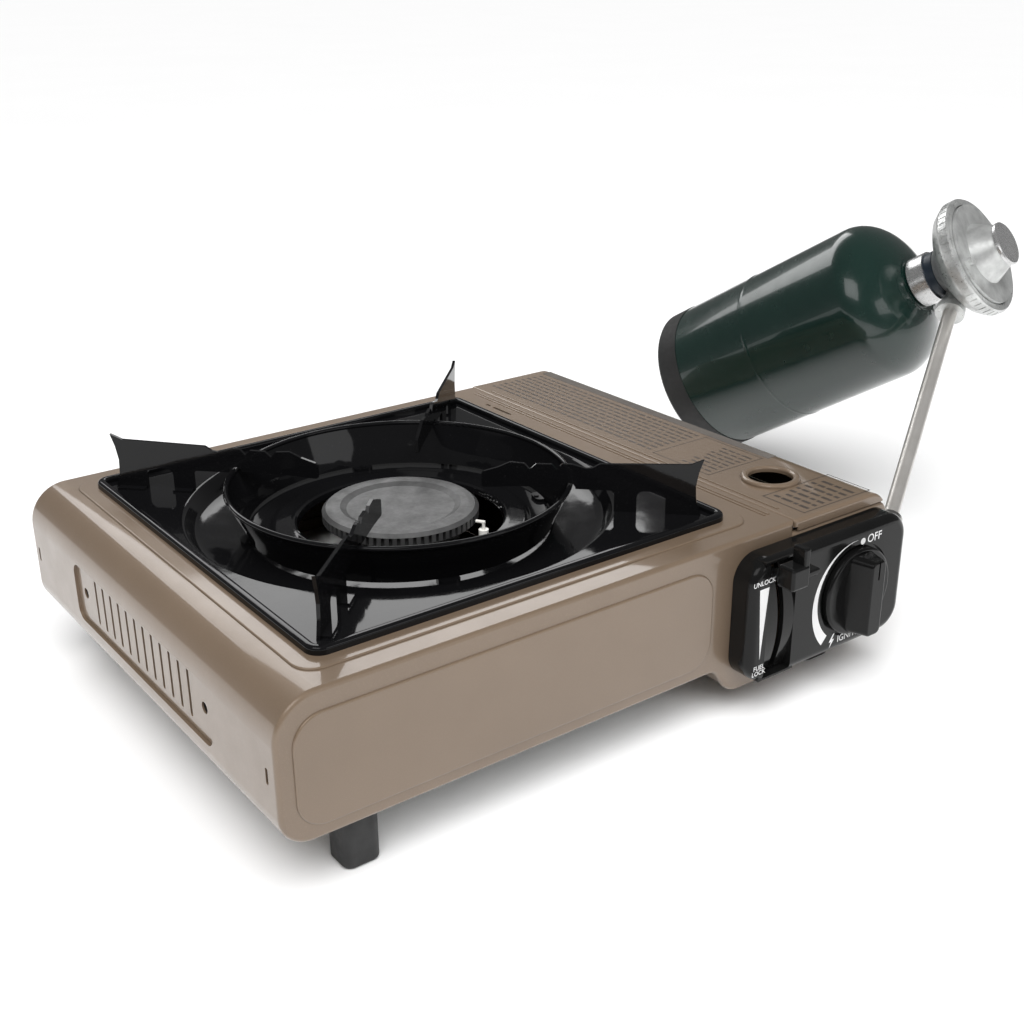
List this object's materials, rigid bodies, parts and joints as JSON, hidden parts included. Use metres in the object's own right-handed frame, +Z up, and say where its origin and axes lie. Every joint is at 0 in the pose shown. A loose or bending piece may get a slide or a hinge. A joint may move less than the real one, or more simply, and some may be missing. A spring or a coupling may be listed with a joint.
{
  "type": "camping stove",
  "caption": "Low portable single-burner camping stove with a lidded fuel bay, drip pan and pot supports, and a propane cylinder on a rigid side pipe with a regulator.",
  "frame": {"origin": "bottom centre of the whole object's bounding box, on the table under the feet", "axes": "+X to the right along the front panel, from the burner towards the propane cylinder; +Y from the front panel to the back; +Z up"},
  "size_m": [0.5412, 0.3048, 0.2],
  "materials": {
    "top_cover": "glossy bronze-tan enamel paint",
    "front_panel": "glossy bronze-tan enamel paint",
    "rear_panel": "glossy bronze-tan enamel paint",
    "base_tray": "plain zinc-coated sheet",
    "fuel_bay_floor": "glossy bronze-tan enamel paint",
    "heat_shield": "plain zinc-coated sheet",
    "fuel_lid": "glossy bronze-tan enamel paint",
    "hinge_brackets": "plain zinc-coated sheet",
    "hinge_pins": "plain steel",
    "lid_catch": "spring steel",
    "control_panel": "glossy black moulding",
    "ignition_knob": "glossy black moulding",
    "valve_spindle": "plain steel",
    "lock_lever": "zinc-plated steel",
    "lever_cap": "black moulding",
    "lever_pivot": "plain steel",
    "canister_slider": "zinc-plated steel",
    "guide_rails": "zinc-plated steel",
    "gas_valve": "die-cast zinc-aluminium, as cast",
    "gas_nozzle": "turned brass",
    "mixing_tube": "aluminised steel tube",
    "burner_base": "cast aluminium",
    "burner_head": "matte grey cast metal",
    "burner_bracket": "zinc-plated steel",
    "electrode": "white ceramic sleeve with a steel wire",
    "electrode_clip": "plain steel",
    "ignition_lead": "red silicone insulation",
    "piezo_igniter": "black moulding",
    "igniter_plunger": "natural acetal",
    "inner_gas_tube": "drawn copper alloy tube",
    "drip_pan": "mirror-gloss black porcelain enamel",
    "wind_ring": "gloss black porcelain enamel",
    "ring_tabs": "gloss black porcelain enamel",
    "pot_supports": "gloss black porcelain enamel",
    "left_feet": "black moulding",
    "right_feet": "black moulding",
    "case_screws": "zinc-plated steel",
    "inlet_socket": "turned brass",
    "swivel_elbow": "nickel-plated brass",
    "propane_pipe": "satin steel tube",
    "regulator_body": "die-cast, tumbled finish",
    "regulator_cover": "spun and pressed, bright",
    "regulator_cap": "bright",
    "diaphragm": "black rubber",
    "regulator_spring": "spring steel",
    "socket_collar": "bright turned metal",
    "collar_band": "black rubber seal band",
    "cylinder_shell": "glossy dark green paint",
    "cylinder_foot": "black moulding",
    "cylinder_valve": "plain steel"
  },
  "bodies": {
    "stove_body": {"top_cover": "top_cover", "front_panel": "front_panel", "rear_panel": "rear_panel", "base_tray": "base_tray", "fuel_bay_floor": "fuel_bay_floor", "heat_shield": "heat_shield", "hinge_brackets": "hinge_brackets", "hinge_pins": "hinge_pins", "lid_catch": "lid_catch", "control_panel": "control_panel", "lever_pivot": "lever_pivot", "guide_rails": "guide_rails", "gas_valve": "gas_valve", "gas_nozzle": "gas_nozzle", "mixing_tube": "mixing_tube", "burner_base": "burner_base", "burner_head": "burner_head", "burner_bracket": "burner_bracket", "electrode": "electrode", "electrode_clip": "electrode_clip", "ignition_lead": "ignition_lead", "piezo_igniter": "piezo_igniter", "inner_gas_tube": "inner_gas_tube", "left_feet": "left_feet", "right_feet": "right_feet", "case_screws": "case_screws", "inlet_socket": "inlet_socket"},
    "pan": {"drip_pan": "drip_pan", "wind_ring": "wind_ring", "ring_tabs": "ring_tabs", "pot_supports": "pot_supports"},
    "lid": {"fuel_lid": "fuel_lid"},
    "knob": {"ignition_knob": "ignition_knob", "valve_spindle": "valve_spindle"},
    "plunger": {"igniter_plunger": "igniter_plunger"},
    "lever": {"lock_lever": "lock_lever", "lever_cap": "lever_cap"},
    "slider": {"canister_slider": "canister_slider"},
    "regulator": {"swivel_elbow": "swivel_elbow", "propane_pipe": "propane_pipe", "regulator_body": "regulator_body", "regulator_cover": "regulator_cover", "regulator_cap": "regulator_cap", "diaphragm": "diaphragm", "regulator_spring": "regulator_spring", "socket_collar": "socket_collar", "collar_band": "collar_band"},
    "cylinder": {"cylinder_shell": "cylinder_shell", "cylinder_foot": "cylinder_foot", "cylinder_valve": "cylinder_valve"}
  },
  "joints": [
    {"name": "pan_lift", "type": "slide", "parent": "stove_body", "child": "pan", "axis": [0, 0, 1], "range_m": [0, 0.06]},
    {"name": "lid_hinge", "type": "hinge", "parent": "stove_body", "child": "lid", "pos_m": [0.03197, 0.13235, 0.0866], "axis": [-1, 0, 0], "range_deg": [0, 95]},
    {"name": "knob_turn", "type": "hinge", "parent": "stove_body", "child": "knob", "pos_m": [0.03247, -0.14195, 0.0503], "axis": [0, -1, 0], "range_deg": [0, 140]},
    {"name": "plunger_push", "type": "slide", "parent": "stove_body", "child": "plunger", "axis": [0, 0, -1], "range_m": [0, 0.004]},
    {"name": "lever_lock", "type": "hinge", "parent": "stove_body", "child": "lever", "pos_m": [-0.01903, -0.07195, 0.048], "axis": [1, 0, 0], "range_deg": [0, 38]},
    {"name": "slider_push", "type": "slide", "parent": "stove_body", "child": "slider", "axis": [0, -1, 0], "range_m": [0, 0.0062]},
    {"name": "inlet_swivel", "type": "hinge", "parent": "stove_body", "child": "regulator", "pos_m": [0.07197, -0.11295, 0.057], "axis": [1, 0, 0], "range_deg": [-4, 60]},
    {"name": "cylinder_turn", "type": "hinge", "parent": "regulator", "child": "cylinder", "pos_m": [0.22637, -0.01105, 0.1472], "axis": [0.2221, -0.8232, 0.5225], "continuous": true}
  ],
  "couplings": [
    {"joint": "plunger_push", "follows": "knob_turn", "m_per_rad": 0.001637},
    {"joint": "slider_push", "follows": "lever_lock", "m_per_rad": 0.0093268}
  ]
}
